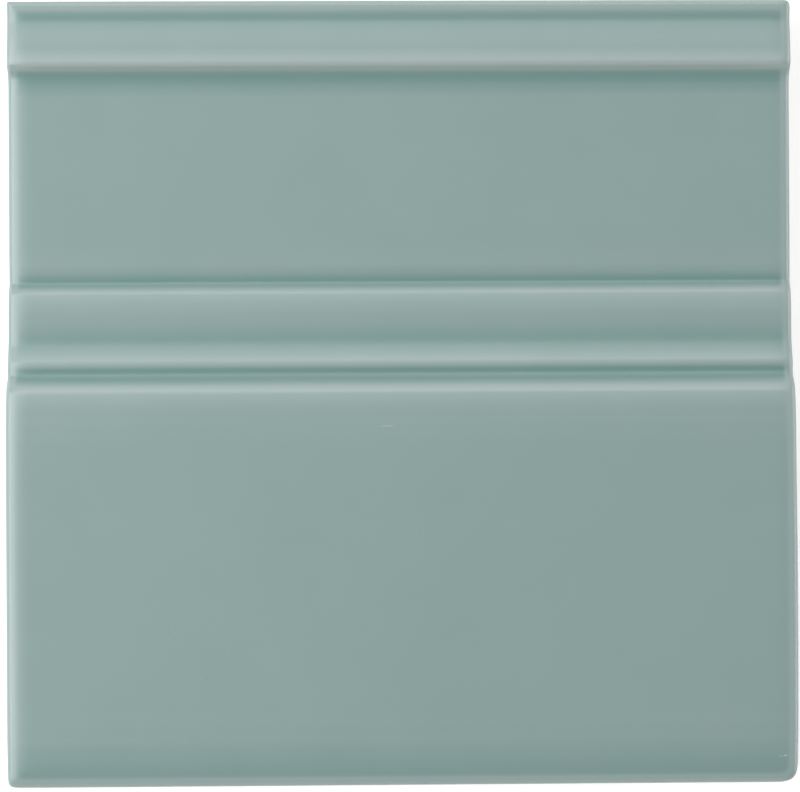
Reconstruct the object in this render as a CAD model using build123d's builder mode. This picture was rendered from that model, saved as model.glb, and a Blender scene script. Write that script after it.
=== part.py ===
"""A glazed ceramic skirting tile, pressed in one piece, lying on its back with its moulded face up.

Frame: X runs along the wall, +Y from the foot to the top edge, +Z out of the face.
The origin is the centre of the bedding plane. All sizes are in millimetres.
"""

import os
from math import floor

from build123d import *

# Overall size
tile_length = 148.0  # along the wall: a 150 module with a 2 mm joint
tile_height = 147.4  # foot to top edge

# Thickness of the tile at each moulding, from the bedding plane
plinth_thickness = 14.0
quirk_thickness = 10.0  # at the bottom of the groove over the plinth
bead_thickness = 10.9
band_thickness = 9.4
frieze_thickness = 8.0
nose_thickness = 10.2
hollow_thickness = 9.1  # between the cap's slope and its lip
lip_thickness = 9.9

# Widths up the face from the foot to the frieze
plinth_height = 74.5  # foot to the plinth's upper arris
foot_ease_width = 9.0
batter_width = 19.8
shoulder_width = 4.9
quirk_riser_width = 2.6
bead_side_width = 2.1
sweep_width = 4.1
band_flat_width = 6.3
band_ease_width = 3.1
band_riser_width = 1.0
dip_width = 3.6  # of the frieze, at the foot of the band's riser

# Widths down the face from the top edge to the frieze
lip_width = 3.4
cap_slope_width = 8.5
nose_riser_width = 1.7

# How far the face falls over each eased or sloping stretch
foot_ease_drop = 1.0
batter_drop = 0.2
shoulder_drop = 0.95
band_ease_drop = 0.5
dip_drop = 0.3

# Radii of the section's corners
foot_ease_radius = 60.0
batter_radius = 200.0
shoulder_radius = 40.0
plinth_arris_radius = 2.2
quirk_radius = 1.6
bead_radius = 2.6
sweep_radius = 9.0
band_ease_radius = 12.0
band_arris_radius = 1.7
band_fillet_radius = 1.3
dip_radius = 40.0
cove_radius = 3.8  # under the cap's nose
nose_radius = 1.2
hollow_radius = 5.0

# Edges of the tile
rim_radius = 1.4  # round the face, where it turns down to the sides
plan_corner_radius = 1.9
back_chamfer = 0.5

# Keying grooves in the back
key_border = 9.0
key_width = 5.0
key_depth = 0.8
key_pitch = 11.0
key_draft = 20.0  # degrees

foot_y = -tile_height / 2
top_y = tile_height / 2


def face_corners():
    """The face's corners between the foot and the top edge, each as its Y, its thickness and its radius."""
    arris_y = foot_y + plinth_height
    shoulder_y = arris_y - shoulder_width
    quirk_y = arris_y + quirk_riser_width
    bead_y = quirk_y + bead_side_width
    band_y = bead_y + sweep_width
    band_ease_y = band_y + band_flat_width
    band_arris_y = band_ease_y + band_ease_width
    frieze_foot_y = band_arris_y + band_riser_width
    hollow_y = top_y - lip_width
    nose_y = hollow_y - cap_slope_width
    frieze_top_y = nose_y - nose_riser_width
    shoulder_thickness = plinth_thickness - batter_drop
    return [
        (foot_y + foot_ease_width, plinth_thickness, foot_ease_radius),
        (shoulder_y - batter_width, plinth_thickness, batter_radius),
        (shoulder_y, shoulder_thickness, shoulder_radius),
        (arris_y, shoulder_thickness - shoulder_drop, plinth_arris_radius),
        (quirk_y, quirk_thickness, quirk_radius),
        (bead_y, bead_thickness, bead_radius),
        (band_y, band_thickness, sweep_radius),
        (band_ease_y, band_thickness, band_ease_radius),
        (band_arris_y, band_thickness - band_ease_drop, band_arris_radius),
        (frieze_foot_y, frieze_thickness - dip_drop, band_fillet_radius),
        (frieze_foot_y + dip_width, frieze_thickness, dip_radius),
        (frieze_top_y, frieze_thickness, cove_radius),
        (nose_y, nose_thickness, nose_radius),
        (hollow_y, hollow_thickness, hollow_radius),
    ]


def key_rows():
    """How many keying grooves fit between the borders."""
    return floor((tile_height - 2 * key_border - key_width) / key_pitch) + 1


corners = face_corners()

with BuildPart() as skirting_tile:
    # The moulded section, run along the wall
    with BuildSketch(Plane.YZ) as section:
        with BuildLine() as outline:
            foot = Line((foot_y, 0), (foot_y, plinth_thickness - foot_ease_drop))
            face = FilletPolyline(
                foot @ 1,
                *[(y, thickness) for y, thickness, _ in corners],
                (top_y, lip_thickness),
                radius=[radius for _, _, radius in corners],
            )
            top = Line(face @ 1, (top_y, 0))
            Line(top @ 1, foot @ 0)
        make_face()
    extrude(amount=tile_length / 2, both=True)

    # The four corners seen from the front
    fillet(skirting_tile.edges().filter_by(Axis.Z), radius=plan_corner_radius)

    # The rim, where the face and its mouldings turn down to the four sides
    back = skirting_tile.faces().sort_by(Axis.Z)[0]
    sides = skirting_tile.faces().filter_by(lambda side: abs(side.normal_at().Z) < 0.01)
    rim = sides.edges() - sides.edges().filter_by(Axis.Z) - back.edges()
    fillet(rim, radius=rim_radius)

    # The eased arris round the back
    back = skirting_tile.faces().sort_by(Axis.Z)[0]
    chamfer(back.edges(), length=back_chamfer)

    # The keying grooves, pressed into the back along the wall
    with BuildSketch(Plane.XY) as keys:
        with GridLocations(0, key_pitch, 1, key_rows()):
            SlotOverall(tile_length - 2 * key_border, key_width)
    extrude(amount=key_depth, taper=key_draft, mode=Mode.SUBTRACT)

skirting_tile.part.label = "skirting_tile"

os.makedirs("parts", exist_ok=True)
export_step(skirting_tile.part, "parts/skirting_tile.step")
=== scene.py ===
"""A glazed ceramic skirting tile in soft studio light, with its moulded face and its bare keyed back.

The packed part is loaded as the fixed frame: X runs along the wall, +Y up the wall and +Z out of the face.
All lengths are in metres.
"""

from math import ceil, cos, floor, log, pi, radians, sin, sqrt, tan

import bpy
import numpy as np
from bpy.props import FloatProperty, FloatVectorProperty, PointerProperty
from mathutils import Matrix, Vector
from mathutils.geometry import delaunay_2d_cdt


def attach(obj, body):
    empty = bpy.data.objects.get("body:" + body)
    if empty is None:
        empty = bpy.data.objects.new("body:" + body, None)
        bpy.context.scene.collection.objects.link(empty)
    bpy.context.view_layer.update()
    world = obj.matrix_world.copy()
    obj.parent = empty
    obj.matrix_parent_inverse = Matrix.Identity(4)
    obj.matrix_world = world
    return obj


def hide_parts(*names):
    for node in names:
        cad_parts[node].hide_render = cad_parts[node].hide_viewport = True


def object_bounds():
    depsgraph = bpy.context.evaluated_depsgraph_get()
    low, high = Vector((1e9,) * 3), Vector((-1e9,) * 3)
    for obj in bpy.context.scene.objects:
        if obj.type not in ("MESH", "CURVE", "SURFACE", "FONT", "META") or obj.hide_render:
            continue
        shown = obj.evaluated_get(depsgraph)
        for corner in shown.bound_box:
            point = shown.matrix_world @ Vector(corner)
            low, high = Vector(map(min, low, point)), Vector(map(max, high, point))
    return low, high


bl_info = {
    "name": "Skirting Tile",
    "version": (1, 0, 0),
    "blender": (4, 5, 0),
    "location": "3D View > Sidebar > Skirting Tile",
    "description": "Builds a moulded and glazed skirting tile and the soft studio round it",
    "category": "Object",
}

MM = 0.001
CAD_NODE = "skirting_tile"
PIECE = "glazed_skirting_tile"
# The glaze's depth at each vertex picks its colour, pale where thin and dark where pooled. This is partly
# the real glaze, partly a painted highlight on the crests and painted shade in the hollows.
DEPTH_ATTRIBUTE = "glaze_depth"
GLAZE_INDEX, BISCUIT_INDEX = 0, 1
FLECKS = (  # middle, size and strength of each light patch in the glaze, with lengths in millimetres
    ((-2.8, -6.4, 14.0), (1.7, 0.16, 2.0), 0.25),
    ((71.3, -68.4, 14.0), (0.32, 0.22, 2.0), 0.60),
    ((70.5, -68.5, 14.0), (0.90, 0.14, 2.0), 0.20),
)

# Where the soft boxes stand, as bearings from +X and as angles down from straight overhead
SIDES = {"left": pi, "right": 0.0, "top": pi / 2, "foot": -pi / 2}
LEVELS = {"low": radians(78), "middle": radians(58), "high": radians(36)}

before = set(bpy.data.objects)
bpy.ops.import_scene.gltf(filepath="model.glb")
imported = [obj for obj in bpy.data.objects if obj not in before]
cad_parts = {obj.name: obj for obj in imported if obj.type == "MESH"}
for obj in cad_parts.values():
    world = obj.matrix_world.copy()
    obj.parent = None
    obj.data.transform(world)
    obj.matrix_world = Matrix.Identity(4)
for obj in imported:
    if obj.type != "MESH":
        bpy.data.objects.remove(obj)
cad_low, cad_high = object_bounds()
tile_length = cad_high.x - cad_low.x
tile_height = cad_high.y - cad_low.y


# Properties that a user would change


def length(name, description, millimetres):
    """A length property given in millimetres."""
    return FloatProperty(
        name=name, description=description, default=millimetres * MM, min=0.0, precision=5, unit="LENGTH"
    )


def angle(name, description, degrees):
    """An angle property given in degrees."""
    return FloatProperty(name=name, description=description, default=radians(degrees), subtype="ANGLE")


def share(name, description, default):
    """A property between nought and one."""
    return FloatProperty(
        name=name, description=description, default=default, min=0.0, max=1.0, subtype="FACTOR"
    )


def colour(name, description, default):
    """A linear colour property."""
    return FloatVectorProperty(
        name=name, description=description, default=default, size=3, min=0.0, max=1.0, subtype="COLOR"
    )


def power(name, description, default):
    """The power of a light in watts."""
    return FloatProperty(name=name, description=description, default=default, min=0.0, unit="POWER")


class SectionSizes(bpy.types.PropertyGroup):
    """The thickness of the tile at each moulding and the widths up its face."""

    plinth_thickness: length("Plinth thickness", "From the bedding plane to the plain plinth", 14.0)
    foot_ease: length("Foot ease", "Width of the plinth's fall towards the foot", 9.0)
    foot_ease_drop: length("Foot ease drop", "How far the plinth falls towards the foot", 1.0)
    plinth_height: length("Plinth height", "From the foot to the plinth's upper arris", 74.5)
    batter: length("Batter", "Width of the plinth's slight slope below the shoulder", 19.8)
    batter_drop: length("Batter drop", "How far the plinth falls over its batter", 0.2)
    shoulder: length("Shoulder", "Width of the eased shoulder under the arris", 4.9)
    shoulder_drop: length("Shoulder drop", "How far the shoulder falls to the arris", 0.95)
    quirk_thickness: length("Quirk thickness", "At the bottom of the groove over the plinth", 10.5)
    quirk_riser: length("Quirk riser", "Width of the plinth's side of the groove", 2.45)
    bead_side: length("Bead side", "Width of the bead's side of the groove", 2.05)
    bead_thickness: length("Bead thickness", "At the crest of the bead", 10.85)
    sweep: length("Sweep", "Width of the sweep from the bead to the band", 4.2)
    band_thickness: length("Band thickness", "At the flat band", 9.4)
    band_flat: length("Band flat", "Width of the flat band", 6.3)
    band_ease: length("Band ease", "Width of the band's eased upper edge", 3.2)
    band_ease_drop: length("Band ease drop", "How far the band falls to its arris", 0.5)
    band_riser: length("Band riser", "Width of the step from the band to the frieze", 1.55)
    frieze_thickness: length("Frieze thickness", "At the flat frieze", 8.0)
    dip: length("Dip", "Width of the dip in the frieze at its foot", 3.6)
    dip_drop: length("Dip drop", "How far the frieze falls over its dip", 0.3)
    nose_riser: length("Nose riser", "Width of the step from the frieze to the cap's nose", 1.5)
    nose_thickness: length("Nose thickness", "At the cap's nose", 10.2)
    cap_slope: length("Cap slope", "Width of the cap's slope above the nose", 8.75)
    cap_ease: length("Cap ease", "Width of the gentler slope next to the nose", 4.0)
    cap_ease_drop: length("Cap ease drop", "How far the cap falls over its gentler slope", 0.38)
    hollow_thickness: length("Hollow thickness", "At the bottom of the cap's hollow", 9.05)
    lip: length("Lip", "Width of the lip between the hollow and the top edge", 3.4)
    lip_thickness: length("Lip thickness", "At the top edge", 9.9)


class SectionRadii(bpy.types.PropertyGroup):
    """How round the glazed face is at each of the section's corners."""

    foot_ease: length("Foot ease", "Where the plinth starts to fall to the foot", 60.0)
    batter: length("Batter", "Where the plinth starts to fall to the shoulder", 200.0)
    shoulder: length("Shoulder", "Where the shoulder starts", 40.0)
    plinth_arris: length("Plinth arris", "At the plinth's upper arris", 3.2)
    quirk: length("Quirk", "At the bottom of the groove over the plinth", 2.0)
    bead: length("Bead", "Over the bead", 3.4)
    sweep: length("Sweep", "Where the sweep meets the band", 9.0)
    band_ease: length("Band ease", "Where the band starts to fall to its arris", 12.0)
    band_arris: length("Band arris", "At the band's upper arris", 2.4)
    frieze_foot: length("Frieze foot", "At the foot of the band's step", 1.6)
    dip: length("Dip", "Where the frieze comes out of its dip", 40.0)
    cove: length("Cove", "Under the cap's nose", 3.8)
    nose: length("Nose", "Over the cap's nose", 1.2)
    cap_ease: length("Cap ease", "Where the cap's slope steepens", 30.0)
    hollow: length("Hollow", "At the bottom of the cap's hollow", 4.0)


class EdgeSizes(bpy.types.PropertyGroup):
    """The tile's rim, its corners seen from the front and how true its edges are."""

    rim_radius: length("Rim radius", "Where the face turns down to the sides", 1.1)
    ease_width: length("Ease width", "How far in from the edges the face starts to fall", 4.6)
    ease_drop: length("Ease drop", "How far the face falls before it turns down", 0.55)
    # The pale rim is partly thin glaze over the edge and partly a painted highlight.
    thin_rim: length("Thin rim", "How far in from the edges the glaze lies thin", 1.95)
    thin_blend: length("Thin blend", "Over what width the rim's thin glaze gains its depth", 0.6)
    top_left: length("Top left corner", "Radius seen from the front", 0.5)
    top_right: length("Top right corner", "Radius seen from the front", 1.2)
    foot_left: length("Foot left corner", "Radius seen from the front", 1.4)
    foot_right: length("Foot right corner", "Radius seen from the front", 2.8)
    flare: length("Flare", "How far the right end stands out low on the plinth", 0.2)
    flare_down: length("Flare down", "From the tile's middle down to where the flare is widest", 44.0)
    flare_spread: length("Flare spread", "How far the flare reaches up and down the end", 32.0)
    wave: length("Wave", "Height of the slow waves in the glazed face", 0.02)


class BackSizes(bpy.types.PropertyGroup):
    """The bare back, its keying grooves and the glaze's edge on the sides."""

    glaze_thickness: length("Glaze thickness", "How far the glaze stands off the bare sides", 0.22)
    bare_height: length("Bare height", "How far above the bedding plane the glaze stops", 2.4)
    bare_wander: length("Bare wander", "How much the glaze's lower edge rises and falls", 0.6)
    roll_height: length("Roll height", "Of the thick roll along the glaze's lower edge", 0.9)
    back_round: length("Back round", "The eased arris round the back", 0.5)
    key_border: length("Key border", "From the edges to the keying grooves", 9.0)
    key_width: length("Key width", "Across one groove", 5.0)
    key_depth: length("Key depth", "Into the back", 0.8)
    key_pitch: length("Key pitch", "From one groove to the next", 11.0)
    key_draft: angle("Key draft", "Lean of the grooves' walls", 20.0)
    key_round: length("Key round", "The eased arris round a groove", 0.15)


class GlazeFinish(bpy.types.PropertyGroup):
    """The sea-green glaze and the pale body under it."""

    even: colour("Even glaze", "Where the glaze lies at its usual depth", (0.237, 0.332, 0.320))
    # The thin colour is partly the glaze's own paleness over an arris and partly a painted highlight. The
    # pooled colour is partly deep glaze and partly painted shade in the hollows.
    thin: colour("Thin glaze", "Where the glaze has run off an arris", (0.355, 0.425, 0.411))
    pooled: colour("Pooled glaze", "Where the glaze has gathered in a hollow", (0.130, 0.243, 0.222))
    # Run, lean and full pool spread and place the pooled colour, so they also place the painted shade in
    # the hollows.
    run: length("Run", "How far the glaze runs from a crest to a hollow", 1.5)
    lean: length("Lean", "How far the glaze gathered towards the foot as it ran", 0.2)
    # Darker along the foot: partly deeper glaze, partly painted shade.
    foot_gather: length("Foot gather", "How much more glaze lies along the foot", 0.13)
    foot_reach: length("Foot reach", "How far up from the foot more glaze lies", 8.0)
    full_pool: length("Full pool", "How far under its surroundings a place lies full of glaze", 0.26)
    roughness: share("Roughness", "Of the glaze", 0.31)
    peel: length("Peel", "Height of the glaze's fine waves", 0.006)
    fleck: colour("Fleck", "Two small light marks in the glaze", (0.620, 0.700, 0.690))
    body: colour("Bare body", "The fired clay of the back", (0.640, 0.560, 0.475))
    body_grain: length("Body grain", "Height of the clay's grain", 0.05)


class StudioSettings(bpy.types.PropertyGroup):
    """The camera and the soft boxes."""

    camera_height: length("Camera height", "Above the bedding plane", 471.0)
    camera_left: length("Camera left", "How far the camera stands to the left of where it looks", 8.0)
    aim_left: length("Aim left", "How far to the left of the tile's middle the camera looks", 0.45)
    aim_down: length("Aim down", "How far below the tile's middle the camera looks", 0.85)
    lens: FloatProperty(name="Lens", description="Focal length", default=110.45, min=1.0, unit="CAMERA")
    turn: angle("Turn", "How far the tile lies turned in the picture", 0.3)
    box_length: length("Box length", "Long side of each soft box", 1200.0)
    box_width: length("Box width", "Short side of each soft box", 420.0)
    box_distance: length("Box distance", "From the tile to each soft box", 1200.0)
    left_middle: power("Left middle", "Power of the soft box half-way up on the left", 8.4)
    left_high: power("Left high", "Power of the soft box high on the left", 7.9)
    right_low: power("Right low", "Power of the soft box low on the right", 8.4)
    top_low: power("Top low", "Power of the soft box low beyond the top edge", 2.1)
    top_middle: power("Top middle", "Power of the soft box half-way up beyond the top edge", 1.8)
    top_high: power("Top high", "Power of the soft box high beyond the top edge", 4.5)
    foot_low: power("Foot low", "Power of the soft box low before the foot", 2.5)
    foot_middle: power("Foot middle", "Power of the soft box half-way up before the foot", 0.6)
    fill_light: share("Fill light", "Strength of the light from all round", 0.03)
    floor_glow: share("Floor glow", "How far the floor is lifted to white in the picture", 0.55)
    floor_size: length("Floor size", "Each side of the floor", 5000.0)


# The section


def face_corners(sizes, radii):
    """The face's corners from the foot to the top edge, each as its Y, its thickness and its radius."""
    arris_y = cad_low.y + sizes.plinth_height
    shoulder_y = arris_y - sizes.shoulder
    quirk_y = arris_y + sizes.quirk_riser
    bead_y = quirk_y + sizes.bead_side
    band_y = bead_y + sizes.sweep
    band_ease_y = band_y + sizes.band_flat
    band_arris_y = band_ease_y + sizes.band_ease
    frieze_foot_y = band_arris_y + sizes.band_riser
    hollow_y = cad_high.y - sizes.lip
    nose_y = hollow_y - sizes.cap_slope
    shoulder_thickness = sizes.plinth_thickness - sizes.batter_drop
    return [
        (cad_low.y, sizes.plinth_thickness - sizes.foot_ease_drop, 0.0),
        (cad_low.y + sizes.foot_ease, sizes.plinth_thickness, radii.foot_ease),
        (shoulder_y - sizes.batter, sizes.plinth_thickness, radii.batter),
        (shoulder_y, shoulder_thickness, radii.shoulder),
        (arris_y, shoulder_thickness - sizes.shoulder_drop, radii.plinth_arris),
        (quirk_y, sizes.quirk_thickness, radii.quirk),
        (bead_y, sizes.bead_thickness, radii.bead),
        (band_y, sizes.band_thickness, radii.sweep),
        (band_ease_y, sizes.band_thickness, radii.band_ease),
        (band_arris_y, sizes.band_thickness - sizes.band_ease_drop, radii.band_arris),
        (frieze_foot_y, sizes.frieze_thickness - sizes.dip_drop, radii.frieze_foot),
        (frieze_foot_y + sizes.dip, sizes.frieze_thickness, radii.dip),
        (nose_y - sizes.nose_riser, sizes.frieze_thickness, radii.cove),
        (nose_y, sizes.nose_thickness, radii.nose),
        (nose_y + sizes.cap_ease, sizes.nose_thickness - sizes.cap_ease_drop, radii.cap_ease),
        (hollow_y, sizes.hollow_thickness, radii.hollow),
        (cad_high.y, sizes.lip_thickness, 0.0),
    ]


def rounded_line(corners, step=radians(4)):
    """Points along a line through the corners, with an arc of each corner's radius in its place."""
    points = [np.array(corners[0][:2])]
    for before, corner, after in zip(corners, corners[1:], corners[2:]):
        here = np.array(corner[:2])
        radius = corner[2]
        back = np.array(before[:2]) - here
        ahead = np.array(after[:2]) - here
        back /= np.linalg.norm(back)
        ahead /= np.linalg.norm(ahead)
        half = np.arccos(np.clip(back @ ahead, -1, 1)) / 2
        middle = (back + ahead) / np.linalg.norm(back + ahead)
        centre = here + middle * radius / sin(half)
        start = here + back * radius / tan(half) - centre
        end = here + ahead * radius / tan(half) - centre
        turn = (pi - 2 * half) * np.sign(start[0] * end[1] - start[1] * end[0])
        for t in np.linspace(0, turn, max(3, ceil(abs(turn) / step) + 1)):
            x = start[0] * cos(t) - start[1] * sin(t)
            y = start[0] * sin(t) + start[1] * cos(t)
            points.append(centre + np.array((x, y)))
    points.append(np.array(corners[-1][:2]))
    return np.array(points)


def glaze_and_shade_gathering(line, finish):
    """How far the surroundings stand over the section at each Y: more than nought in a hollow, where the
    pooled colour paints deep glaze and painted shade.
    """
    step = 0.1 * MM
    reach = 3 * finish.run
    y = np.arange(line[0, 0] - 2 * reach, line[-1, 0] + 2 * reach, step)
    height = np.interp(y, line[:, 0], line[:, 1])
    away = np.arange(-reach, reach + step, step)
    weight = np.exp(-(((away - finish.lean) / finish.run) ** 2) / 2)
    around = np.convolve(height, weight / weight.sum(), mode="same")
    # Extra depth along the foot, which paints it darker: partly deeper glaze, partly painted shade.
    at_foot = finish.foot_gather * np.exp(-(((y - cad_low.y) / finish.foot_reach) ** 2))
    return y, around - height + at_foot


# The tile's mesh


def rim_stops(edges):
    """Distances in from an edge, close together on the rim's round and wider over the ease."""
    turns = np.linspace(0, pi / 2, 10)
    ease = np.linspace(edges.rim_radius, edges.ease_width, 8)
    return list(edges.rim_radius * (1 - np.cos(turns))) + list(ease[1:])


def filled(stops, widest):
    """The stops in order, with more put in where a gap is wide, and near doubles left out."""
    nearest = 0.03 * MM
    stops = sorted(stops)
    rows = [stops[0]]
    for stop in stops[1:]:
        gap = stop - rows[-1]
        if gap > nearest:
            count = ceil(gap / widest)
            rows += [rows[-1] + gap / count * (i + 1) for i in range(count)]
    return np.array(rows)


def corner_power(radius, width):
    """The power of the curve that cuts a corner as deep as a round of that radius does."""
    return -log(2) / log(1 - (1 - sqrt(0.5)) * radius / width)


def plan(x, y, edges):
    """Where the square grid's points lie once the corners are rounded, and how near the outline, 0 to 1."""
    width = edges.ease_width
    core_x = tile_length / 2 - width
    core_y = tile_height / 2 - width
    near_x = np.maximum(np.abs(x) - core_x, 0) / width
    near_y = np.maximum(np.abs(y) - core_y, 0) / width
    top = np.where(x < 0, corner_power(edges.top_left, width), corner_power(edges.top_right, width))
    foot = np.where(x < 0, corner_power(edges.foot_left, width), corner_power(edges.foot_right, width))
    bend = np.where(y > 0, top, foot)
    rim = np.maximum(near_x, near_y)
    spread = (near_x**bend + near_y**bend) ** (1 / bend)
    pull = np.where((near_x > 0) & (near_y > 0), rim / np.maximum(spread, 1e-9), 1.0)
    in_x = np.where(near_x > 0, np.sign(x) * (core_x + near_x * width * pull), x)
    in_y = np.where(near_y > 0, np.sign(y) * (core_y + near_y * width * pull), y)
    bulge = np.exp(-(((in_y + edges.flare_down) / edges.flare_spread) ** 2))
    out_x = in_x - edges.flare * (1 - bulge) * np.clip(in_x / (tile_length / 2), 0, 1) ** 2
    return out_x, in_y, rim


def slow_waves(x, y):
    """Three slow waves over the face that bend and cross, summed, from 0 to 1."""
    along = np.sin(x / (7.1 * MM) + 1.3 * np.sin(y / (23 * MM)))
    up = np.sin(y / (8.3 * MM) + 1.1 * np.sin(x / (19 * MM) + 0.7))
    aslant = np.sin((x + y) / (12.7 * MM) + 2.1)
    return (along + up + aslant) / 6 + 0.5


def drop_at_rim(rim, edges):
    """How far the face has fallen where it is that near the outline."""
    across = np.clip((1 - rim) * edges.ease_width, 0, edges.rim_radius)
    turned = edges.rim_radius - np.sqrt(edges.rim_radius**2 - (edges.rim_radius - across) ** 2)
    return turned + edges.ease_drop * rim**2


class Shell:
    """Gathers the tile's vertices, faces, finishes and glaze depths."""

    def __init__(self):
        """Starts with nothing in it."""
        self.points = []
        self.depths = []
        self.faces = []
        self.finishes = []

    def ring(self, x, y, z, depth):
        """Adds a row of vertices and gives their numbers."""
        first = len(self.points)
        z = np.broadcast_to(z, np.shape(x))
        depth = np.broadcast_to(depth, np.shape(x))
        self.points += list(zip(map(float, x), map(float, y), map(float, z)))
        self.depths += [float(d) for d in depth]
        return list(range(first, len(self.points)))

    def face(self, corners, finish):
        """Adds a face over those vertices."""
        self.faces.append(corners)
        self.finishes.append(finish)

    def bridge(self, outer, inner, finish):
        """Joins two closed rings, both running anticlockwise seen from the front."""
        for k in range(len(outer)):
            after = (k + 1) % len(outer)
            self.face((inner[k], inner[after], outer[after], outer[k]), finish)


def add_face(shell, line, edges, finish):
    """The moulded face as a grid. Gives its border's numbers, grid places and heights, anticlockwise."""
    stops = rim_stops(edges)
    widest = 2.4 * MM
    columns = filled([cad_low.x + s for s in stops] + [cad_high.x - s for s in stops], widest)
    rows = filled(
        [cad_low.y + s for s in stops] + [cad_high.y - s for s in stops] + list(line[1:-1, 0]), widest
    )
    grid_x, grid_y = np.meshgrid(columns, rows)
    x, y, rim = plan(grid_x, grid_y, edges)
    height = np.interp(y, line[:, 0], line[:, 1])
    z = height - drop_at_rim(rim, edges) - edges.wave * slow_waves(x, y) * (1 - rim)
    # Glaze depth: dark in the hollows and along the foot, pale on the rim. This is partly the real glaze,
    # partly painted shade and a painted highlight.
    gather_y, gather = glaze_and_shade_gathering(line, finish)
    pooled = np.tanh(np.interp(y, gather_y, gather) / finish.full_pool)
    thin_and_sheen_share = np.clip(0.5 + (edges.thin_rim - (1 - rim) * edges.ease_width) / edges.thin_blend, 0, 1)
    lost_pool, lost_depth = 0.8, 0.22
    depth = 0.5 + 0.5 * pooled * (1 - lost_pool * thin_and_sheen_share) - lost_depth * thin_and_sheen_share
    depth = np.clip(depth, 0, 1)
    numbers = np.array([shell.ring(*row) for row in zip(x, y, z, depth)])
    for j in range(len(rows) - 1):
        for i in range(len(columns) - 1):
            corners = (numbers[j, i], numbers[j, i + 1], numbers[j + 1, i + 1], numbers[j + 1, i])
            shell.face(tuple(map(int, corners)), GLAZE_INDEX)

    def around(table):
        """The table's border, anticlockwise from its first place."""
        return np.concatenate((table[0, :], table[1:, -1], table[-1, -2::-1], table[-2:0:-1, 0]))

    return [int(n) for n in around(numbers)], around(grid_x), around(grid_y), around(z)


def glaze_edge(x, y, back):
    """The height of the glaze's lower edge round the sides, which wanders as it was wiped by hand."""
    turn = np.arctan2(y, x)
    waves = ((3, 1.0, 0.6), (11, 0.6, 2.0), (37, 0.35, 0.9))  # waves round the tile, strength and start
    wander = sum(strength * np.sin(count * turn + start) for count, strength, start in waves)
    return back.bare_height + back.bare_wander * wander / sum(strength for _, strength, _ in waves)


def add_sides(shell, border, grid_x, grid_y, top_z, edges, back):
    """The four sides, glazed above and bare below, down to a flat ring on the bedding plane."""

    def inset(amount):
        """The border's places, brought in by that amount."""
        x = grid_x * (1 - 2 * amount / tile_length)
        y = grid_y * (1 - 2 * amount / tile_height)
        return plan(x, y, edges)[:2]

    edge_z = glaze_edge(grid_x, grid_y, back)
    glaze = back.glaze_thickness
    roll_z = edge_z + back.roll_height
    # The thin depth under the rim paints the sides pale there: partly thin glaze, partly a painted
    # highlight.
    thin, even, rolled = 0.32, 0.5, 0.66  # depths of the glaze under the rim, on the flats and in its roll
    rings = [(0.0, top_z + (roll_z - top_z) * t, thin + (even - thin) * t) for t in (0.12, 0.4, 0.7, 1.0)]
    rings += [(0.0, edge_z + 2 * glaze, rolled)]
    rings += [
        (glaze * (1 - cos(t)), edge_z + glaze * (1 - sin(t)), rolled + (thin - rolled) * sin(t))
        for t in np.linspace(0, pi / 2, 5)
    ]
    last = border
    for amount, z, depth in rings:
        x, y = inset(amount)
        ring = shell.ring(x, y, z, depth)
        shell.bridge(last, ring, GLAZE_INDEX)
        last = ring
    glaze_foot = 0.06 * MM
    bare_top = edge_z - glaze_foot
    rings = [(glaze, bare_top + (back.back_round - bare_top) * t) for t in (0.0, 0.5, 1.0)]
    rings += [
        (glaze + back.back_round * (1 - cos(t)), np.full_like(edge_z, back.back_round * (1 - sin(t))))
        for t in np.linspace(0, pi / 2, 6)[1:]
    ]
    flat_border = 0.4 * MM
    rings += [(glaze + back.back_round + flat_border, np.zeros_like(edge_z))]
    for amount, z in rings:
        x, y = inset(amount)
        ring = shell.ring(x, y, z, 0.0)
        shell.bridge(last, ring, BISCUIT_INDEX)
        last = ring
    return last


def stadium(middle_y, straight, radius, steps=14):
    """A closed loop round a straight-sided slot with round ends, anticlockwise."""
    right = np.linspace(-pi / 2, pi / 2, steps)
    left = right + pi
    x = np.concatenate((straight + radius * np.cos(right), -straight + radius * np.cos(left)))
    y = middle_y + np.concatenate((radius * np.sin(right), radius * np.sin(left)))
    return x, y


def fill_between(shell, loops, finish):
    """Flat triangles inside the first loop and outside the others, facing down."""
    numbers = [n for loop in loops for n in loop]
    owner = [k for k, loop in enumerate(loops) for _ in loop]
    flat = [Vector(shell.points[n][:2]) for n in numbers]
    edges = []
    for loop in loops:
        first = len(edges)
        edges += [(first + k, first + (k + 1) % len(loop)) for k in range(len(loop))]
    inside_edges = 1
    _, _, triangles, sources, _, _ = delaunay_2d_cdt(flat, edges, [], inside_edges, 0.0001 * MM)
    for triangle in triangles:
        a, b, c = (sources[k][0] for k in triangle)
        if owner[a] == owner[b] == owner[c] and owner[a] > 0:
            continue
        anticlockwise = (flat[b] - flat[a]).cross(flat[c] - flat[a]) > 0
        turned = (a, c, b) if anticlockwise else (a, b, c)
        shell.face(tuple(numbers[k] for k in turned), finish)


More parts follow.
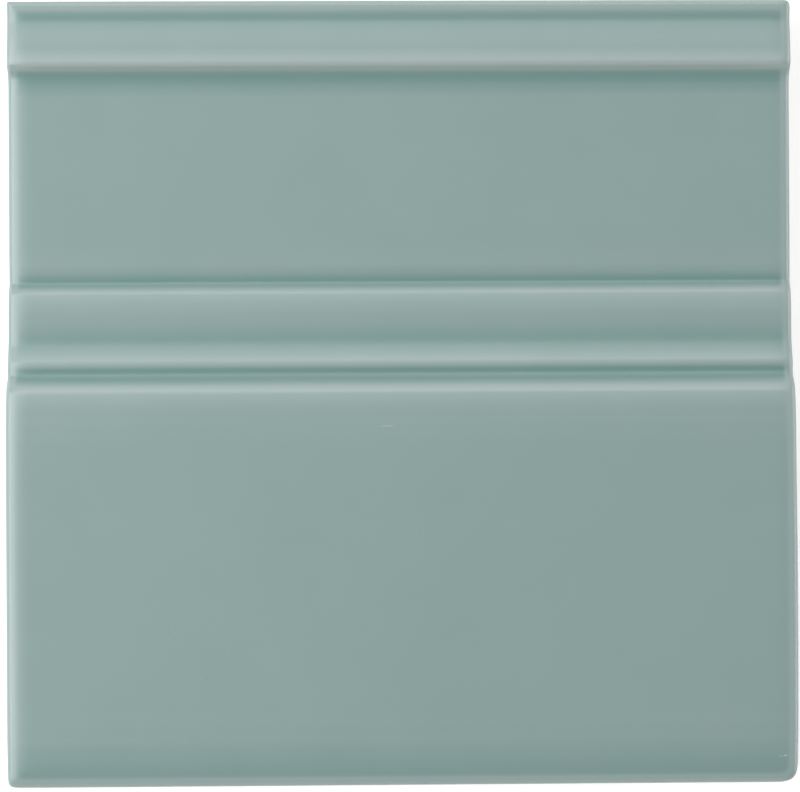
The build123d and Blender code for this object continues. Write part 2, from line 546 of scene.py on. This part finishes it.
def add_back(shell, outer, back):
    """The bedding face with its keying grooves."""
    straight = tile_length / 2 - back.key_border - back.key_width / 2
    rows = floor((tile_height - 2 * back.key_border - back.key_width) / back.key_pitch) + 1
    draft = tan(back.key_draft)
    soft = back.key_round
    profile = [  # out from the groove's own outline, and up into the back
        (2 * soft, 0.0),
        (soft, 0.0),
        (0.3 * soft, 0.25 * soft),
        (-draft * soft, soft),
        (-draft * (back.key_depth - soft), back.key_depth - soft),
        (-draft * back.key_depth - 0.5 * soft, back.key_depth - 0.25 * soft),
        (-draft * back.key_depth - 1.4 * soft, back.key_depth),
        (-draft * back.key_depth - 3 * soft, back.key_depth),
    ]
    loops = [outer]
    for row in range(rows):
        middle_y = (row - (rows - 1) / 2) * back.key_pitch
        last = None
        for offset, depth in profile:
            x, y = stadium(middle_y, straight, back.key_width / 2 + offset)
            ring = shell.ring(x, y, depth, 0.0)
            if last is None:
                loops.append(ring)
            else:
                shell.bridge(last, ring, BISCUIT_INDEX)
            last = ring
        shell.face(tuple(reversed(last)), BISCUIT_INDEX)
    fill_between(shell, loops, BISCUIT_INDEX)


def tile_mesh(scene):
    """The whole tile as one closed mesh, with the depth of its glaze kept at each vertex."""
    shell = Shell()
    line = rounded_line(face_corners(scene.tile_section, scene.tile_radii))
    border = add_face(shell, line, scene.tile_edges, scene.tile_glaze)
    outer = add_sides(shell, *border, scene.tile_edges, scene.tile_back)
    add_back(shell, outer, scene.tile_back)
    mesh = bpy.data.meshes.new(PIECE)
    mesh.from_pydata(shell.points, [], shell.faces)
    mesh.polygons.foreach_set("material_index", shell.finishes)
    mesh.polygons.foreach_set("use_smooth", [True] * len(shell.faces))
    depth = mesh.attributes.new(DEPTH_ATTRIBUTE, "FLOAT", "POINT")
    depth.data.foreach_set("value", shell.depths)
    mesh.update()
    if mesh.validate():
        raise RuntimeError("the tile's mesh has faces that Blender can't keep")
    return mesh


# The finishes


def add_node(tree, kind, inputs=None, **settings):
    """A new node with its settings, its inputs set to values or linked from other nodes' outputs."""
    made = tree.nodes.new(kind)
    for name, value in settings.items():
        setattr(made, name, value)
    for name, value in (inputs or {}).items():
        if isinstance(value, bpy.types.NodeSocket):
            tree.links.new(value, made.inputs[name])
        else:
            made.inputs[name].default_value = value
    return made


def calculate(tree, operation, first, second, third=0.0):
    """One step of arithmetic, as the output of a Math node."""
    inputs = {0: first, 1: second, 2: third}
    return add_node(tree, "ShaderNodeMath", inputs, operation=operation).outputs["Value"]


def blended(tree, share_of_second, first, second):
    """A mix of two colours."""
    mix = add_node(tree, "ShaderNodeMix", data_type="RGBA")
    for name, value in (("Factor", share_of_second), ("A", first), ("B", second)):
        socket = next(s for s in mix.inputs if s.name == name and (name == "Factor" or s.type == "RGBA"))
        if isinstance(value, bpy.types.NodeSocket):
            tree.links.new(value, socket)
        else:
            socket.default_value = value
    return next(s for s in mix.outputs if s.type == "RGBA")


def noise(tree, where, size, detail):
    """Noise whose patches are about that size, from 0 to 1."""
    inputs = {"Vector": where, "Scale": 1 / size, "Detail": detail}
    return add_node(tree, "ShaderNodeTexNoise", inputs).outputs["Fac"]


def fading(tree, distance, near, far, strength):
    """A mask of that strength up to the near distance, falling to nought at the far one."""
    inputs = {"Value": distance, "From Min": near, "From Max": far, "To Min": strength, "To Max": 0.0}
    return add_node(tree, "ShaderNodeMapRange", inputs).outputs["Result"]


def fleck_mask(tree, where, middle, size, strength):
    """The strength at the middle of a small oval mark, falling to nought at its edge."""
    away = add_node(tree, "ShaderNodeVectorMath", {0: where, 1: Vector(middle) * MM}, operation="SUBTRACT")
    scaled = add_node(
        tree, "ShaderNodeVectorMath", {0: away.outputs["Vector"], 1: Vector(size) * MM}, operation="DIVIDE"
    )
    reach = add_node(tree, "ShaderNodeVectorMath", {0: scaled.outputs["Vector"]}, operation="LENGTH")
    return fading(tree, reach.outputs["Value"], 0.4, 1.0, strength)


def scattered(tree, where, spacing):
    """The distance to the nearest of many scattered points, as a share of their spacing."""
    inputs = {"Vector": where, "Scale": 1 / spacing}
    return add_node(tree, "ShaderNodeTexVoronoi", inputs).outputs["Distance"]


def varied(tree, middle, amount, pattern):
    """Values round the middle, as far apart as the amount, that follow the pattern."""
    if isinstance(middle, bpy.types.NodeSocket):
        low = calculate(tree, "SUBTRACT", middle, amount / 2)
    else:
        low = middle - amount / 2
    return calculate(tree, "MULTIPLY_ADD", pattern, amount, low)


def bumped(tree, height, distance):
    """The surface's direction, as that height at that full distance would tilt it."""
    inputs = {"Strength": 1.0, "Distance": distance, "Height": height}
    return add_node(tree, "ShaderNodeBump", inputs).outputs["Normal"]


def new_material(name):
    """A new material and its node tree, emptied."""
    material = bpy.data.materials.new(name)
    material.use_nodes = True
    tree = material.node_tree
    tree.nodes.clear()
    return material, tree


def glaze_material(finish):
    """Sea-green glaze, pale on the arrises and dark in the hollows: partly its real thin and pooled glaze,
    partly a painted highlight on the arrises and painted shade in the hollows.
    """
    material, tree = new_material("sea_green_glaze")
    where = add_node(tree, "ShaderNodeTexCoord").outputs["Object"]
    depth = add_node(tree, "ShaderNodeAttribute", attribute_name=DEPTH_ATTRIBUTE).outputs["Fac"]
    clouds = noise(tree, where, 16 * MM, 3)
    grain = noise(tree, where, 0.5 * MM, 2)
    depth = varied(tree, depth, 0.10, clouds)
    depth = varied(tree, depth, 0.04, grain)
    # Pale at nought depth with a painted highlight, dark at full depth with painted shade.
    ramp = add_node(tree, "ShaderNodeValToRGB", {"Fac": depth})
    ramp.color_ramp.interpolation = "B_SPLINE"
    stops = ramp.color_ramp.elements
    stops[0].color = (*finish.thin, 1)
    stops[1].color = (*finish.pooled, 1)
    stops.new(0.5).color = (*finish.even, 1)
    tint = ramp.outputs["Color"]

    specks = fading(tree, scattered(tree, where, 5 * MM), 0.015, 0.04, 0.35)
    tint = blended(tree, specks, tint, (*finish.pooled, 1))
    for middle, size, strength in FLECKS:
        tint = blended(tree, fleck_mask(tree, where, middle, size, strength), tint, (*finish.fleck, 1))

    rough = varied(tree, finish.roughness, 0.06, noise(tree, where, 9 * MM, 2))
    peel = noise(tree, where, 3.2 * MM, 1)
    pits = noise(tree, where, 0.35 * MM, 1)
    height = calculate(tree, "MULTIPLY_ADD", pits, 0.04, peel)
    bump = bumped(tree, height, finish.peel)
    refraction = 1.54
    inputs = {"Base Color": tint, "Roughness": rough, "IOR": refraction, "Normal": bump}
    shader = add_node(tree, "ShaderNodeBsdfPrincipled", inputs)
    add_node(tree, "ShaderNodeOutputMaterial", {"Surface": shader.outputs["BSDF"]})
    return material


def biscuit_material(finish):
    """Bare fired clay, chalky and finely grained, with darker grit."""
    material, tree = new_material("bare_biscuit")
    where = add_node(tree, "ShaderNodeTexCoord").outputs["Object"]

    def shade(brightness):
        """The body's colour at that brightness."""
        return (*(brightness * c for c in finish.body), 1)

    tint = blended(tree, noise(tree, where, 12 * MM, 4), shade(1.0), shade(0.86))
    grit = fading(tree, scattered(tree, where, 1.3 * MM), 0.08, 0.2, 0.6)
    tint = blended(tree, grit, tint, shade(0.72))
    grain = noise(tree, where, 0.3 * MM, 3)
    rough = varied(tree, 0.84, 0.12, grain)
    inputs = {"Base Color": tint, "Roughness": rough, "Normal": bumped(tree, grain, finish.body_grain)}
    shader = add_node(tree, "ShaderNodeBsdfPrincipled", inputs)
    add_node(tree, "ShaderNodeOutputMaterial", {"Surface": shader.outputs["BSDF"]})
    return material


# The studio


def seen_directly(tree):
    """1 for what the camera sees, straight or in a reflection, and 0 for the light given to others."""
    rays = add_node(tree, "ShaderNodeLightPath").outputs
    shiny = calculate(tree, "MAXIMUM", rays["Is Glossy Ray"], rays["Is Transmission Ray"])
    return calculate(tree, "MAXIMUM", rays["Is Camera Ray"], shiny)


def floor_material(glow):
    """Plain white floor, lifted to white in the picture so that only the tile's shadow stays on it."""
    material, tree = new_material("white_floor")
    where = add_node(tree, "ShaderNodeTexCoord").outputs["Object"]
    duller, brighter = (0.74, 0.74, 0.74, 1), (0.76, 0.76, 0.76, 1)
    tint = blended(tree, noise(tree, where, 250 * MM, 2), duller, brighter)
    paint = add_node(tree, "ShaderNodeBsdfDiffuse", {"Color": tint})
    lift = calculate(tree, "MULTIPLY", seen_directly(tree), glow)
    light = add_node(tree, "ShaderNodeEmission", {"Strength": lift})
    both = add_node(tree, "ShaderNodeAddShader", {0: paint.outputs["BSDF"], 1: light.outputs["Emission"]})
    add_node(tree, "ShaderNodeOutputMaterial", {"Surface": both.outputs["Shader"]})
    return material


def set_world(strength):
    """Faint even light from all round."""
    world = bpy.data.worlds.new("studio_air")
    world.use_nodes = True
    tree = world.node_tree
    tree.nodes.clear()
    air = add_node(tree, "ShaderNodeBackground", {"Color": (1, 1, 1, 1), "Strength": strength})
    add_node(tree, "ShaderNodeOutputWorld", {"Surface": air.outputs["Background"]})
    bpy.context.scene.world = world


def add_soft_box(name, studio):
    """A wide area light on the side and at the level in its name, turned to the tile."""
    side, level = name.split("_")
    bearing, tilt = SIDES[side], LEVELS[level]
    away = Vector((cos(bearing) * sin(tilt), sin(bearing) * sin(tilt), cos(tilt)))
    light = bpy.data.lights.new(name, "AREA")
    light.shape = "RECTANGLE"
    light.size = studio.box_length
    light.size_y = studio.box_width
    light.energy = getattr(studio, name)
    box = bpy.data.objects.new(name, light)
    box.location = studio.box_distance * away
    box.rotation_mode = "QUATERNION"
    box.rotation_quaternion = (-away).to_track_quat("-Z", "Y")
    bpy.context.scene.collection.objects.link(box)


def add_floor(studio):
    """A wide plain floor at the bedding plane."""
    half = studio.floor_size / 2
    corners = [(-half, -half, 0), (half, -half, 0), (half, half, 0), (-half, half, 0)]
    mesh = bpy.data.meshes.new("studio_floor")
    mesh.from_pydata(corners, [], [(0, 1, 2, 3)])
    mesh.materials.append(floor_material(studio.floor_glow))
    piece = bpy.data.objects.new("studio_floor", mesh)
    bpy.context.scene.collection.objects.link(piece)


def add_camera(studio):
    """The camera over the tile, with the top edge up in the picture."""
    aim = Vector((-studio.aim_left, -studio.aim_down, cad_high.z))
    lens = bpy.data.cameras.new("studio_camera")
    lens.lens = studio.lens
    lens.clip_start = 10 * MM
    camera = bpy.data.objects.new("studio_camera", lens)
    camera.location = (aim.x - studio.camera_left, aim.y, studio.camera_height)
    behind = (camera.location - aim).normalized()
    up = Vector((sin(studio.turn), cos(studio.turn), 0))
    right = up.cross(behind).normalized()
    camera.rotation_mode = "QUATERNION"
    camera.rotation_quaternion = Matrix((right, behind.cross(right), behind)).transposed().to_quaternion()
    bpy.context.scene.collection.objects.link(camera)
    bpy.context.scene.camera = camera


# Operators


class OBJECT_OT_skirting_tile(bpy.types.Operator):
    """Build the glazed skirting tile over the packed part"""

    bl_idname = "object.skirting_tile"
    bl_label = "Skirting Tile"

    def execute(self, context):
        scene = context.scene
        mesh = tile_mesh(scene)
        mesh.materials.append(glaze_material(scene.tile_glaze))
        mesh.materials.append(biscuit_material(scene.tile_glaze))
        tile = bpy.data.objects.new(PIECE, mesh)
        scene.collection.objects.link(tile)
        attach(tile, "root")
        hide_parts(CAD_NODE)
        return {"FINISHED"}


class SCENE_OT_tile_studio(bpy.types.Operator):
    """Set the floor, the soft boxes and the camera round the tile"""

    bl_idname = "scene.tile_studio"
    bl_label = "Tile Studio"

    def execute(self, context):
        studio = context.scene.tile_studio
        add_floor(studio)
        for name in StudioSettings.__annotations__:
            if name.split("_")[0] in SIDES:
                add_soft_box(name, studio)
        set_world(studio.fill_light)
        add_camera(studio)
        return {"FINISHED"}


class VIEW3D_PT_skirting_tile(bpy.types.Panel):
    """The tile's sizes and finish, and the buttons that build it"""

    bl_label = "Skirting Tile"
    bl_idname = "VIEW3D_PT_skirting_tile"
    bl_space_type = "VIEW_3D"
    bl_region_type = "UI"
    bl_category = "Skirting Tile"

    def draw(self, context):
        for holder, group in GROUPS.items():
            box = self.layout.box()
            box.label(text=group.__doc__)
            settings = getattr(context.scene, holder)
            for name in group.__annotations__:
                box.prop(settings, name)
        for operator in OPERATORS:
            self.layout.operator(operator.bl_idname)


GROUPS = {
    "tile_section": SectionSizes,
    "tile_radii": SectionRadii,
    "tile_edges": EdgeSizes,
    "tile_back": BackSizes,
    "tile_glaze": GlazeFinish,
    "tile_studio": StudioSettings,
}
OPERATORS = (OBJECT_OT_skirting_tile, SCENE_OT_tile_studio)


def register():
    """Makes the tile's properties, operators and panel known to Blender."""
    for kind in (*GROUPS.values(), *OPERATORS, VIEW3D_PT_skirting_tile):
        bpy.utils.register_class(kind)
    for holder, group in GROUPS.items():
        setattr(bpy.types.Scene, holder, PointerProperty(type=group))


def unregister():
    """Takes the properties, operators and panel out again."""
    for holder in GROUPS:
        delattr(bpy.types.Scene, holder)
    for kind in (VIEW3D_PT_skirting_tile, *OPERATORS, *GROUPS.values()):
        bpy.utils.unregister_class(kind)


def main():
    """Builds the tile and its studio."""
    register()
    bpy.context.scene.view_settings.view_transform = "Standard"
    bpy.ops.object.skirting_tile()
    bpy.ops.scene.tile_studio()


if __name__ == "__main__":
    main()
